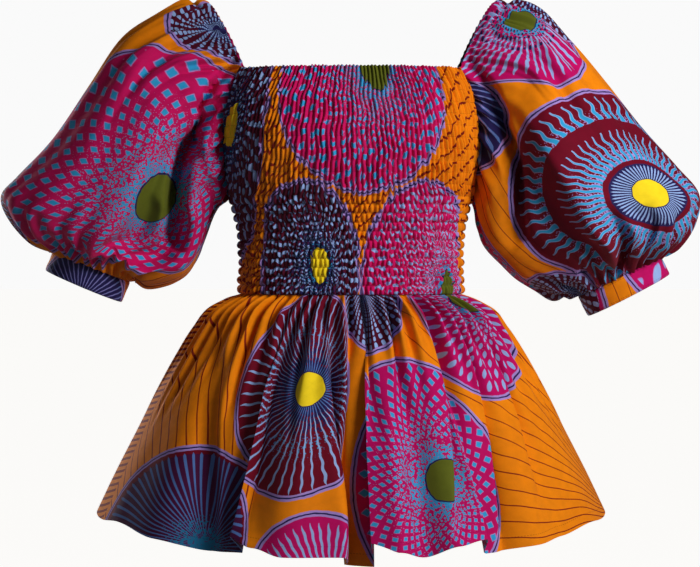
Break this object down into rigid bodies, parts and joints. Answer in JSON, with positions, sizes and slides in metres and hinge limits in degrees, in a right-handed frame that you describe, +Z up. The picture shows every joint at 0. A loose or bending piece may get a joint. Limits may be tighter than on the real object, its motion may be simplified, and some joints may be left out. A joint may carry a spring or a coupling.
{
  "type": "smocked peplum top with puff sleeves",
  "caption": "Worn, hollow women's top: smocked square-neck bodice, puff sleeves gathered into cuffs, and a gathered flared peplum, in traditional wax-print cotton.",
  "frame": {"origin": "midway between the two places where the sleeves' elastic edges rest on the wearer's shoulders", "axes": "+X towards the wearer's left, the front of the garment faces -Y, +Z up"},
  "size_m": [0.7672, 0.4273, 0.6019],
  "materials": {
    "bodice_cloth": "elastic-smocked cotton wax print in magenta, crimson, blue and orange",
    "sleeve_cloth": "cotton wax print, plain weave, faint wax sheen",
    "cuff_cloth": "cotton wax print folded double",
    "peplum_cloth": "cotton wax print, plain weave, faint wax sheen"
  },
  "bodies": {
    "root": {"bodice_front": "bodice_cloth", "bodice_back": "bodice_cloth", "sleeve_left": "sleeve_cloth", "sleeve_right": "sleeve_cloth", "cuff_left": "cuff_cloth", "cuff_right": "cuff_cloth", "peplum_front": "peplum_cloth", "peplum_back": "peplum_cloth"}
  },
  "joints": []
}
